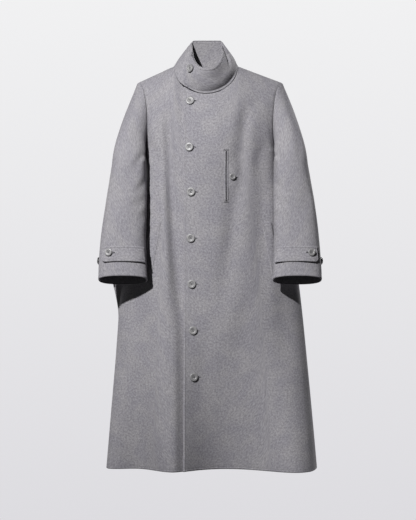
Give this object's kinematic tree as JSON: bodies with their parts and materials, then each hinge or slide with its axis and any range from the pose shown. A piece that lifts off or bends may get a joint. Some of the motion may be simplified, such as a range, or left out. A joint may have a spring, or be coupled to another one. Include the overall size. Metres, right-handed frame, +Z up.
{
  "type": "wool coat",
  "caption": "Long A-line wool coat, hollow as if worn: tall funnel collar, off-centre lapped button front, set-in sleeves with buttoned cuff tabs, welt pockets.",
  "frame": {"origin": "on the shoulder ridge, midway between the shoulder points, where shoulders or a hanger carry the coat", "axes": "+Z up the coat, the coat faces -Y, the wearer's left is +X"},
  "size_m": [0.6638, 0.1982, 1.2815],
  "materials": {
    "wool": "brushed melange wool, matt",
    "button": "horn-like, half gloss"
  },
  "bodies": {
    "root": {"front_left": "wool", "front_right": "wool", "back": "wool", "sleeve_left": "wool", "sleeve_right": "wool", "collar": "wool", "cuff_tab_left": "wool", "cuff_tab_right": "wool", "chest_welt_front": "wool", "chest_welt_side": "wool", "side_welt_left": "wool", "side_welt_right": "wool", "front_button_1": "button", "front_button_2": "button", "front_button_3": "button", "front_button_4": "button", "front_button_5": "button", "front_button_6": "button", "front_button_7": "button", "collar_button": "button", "chest_button": "button", "tab_button_left": "button", "tab_button_right": "button", "spare_button_left": "button", "spare_button_right": "button"}
  },
  "joints": []
}
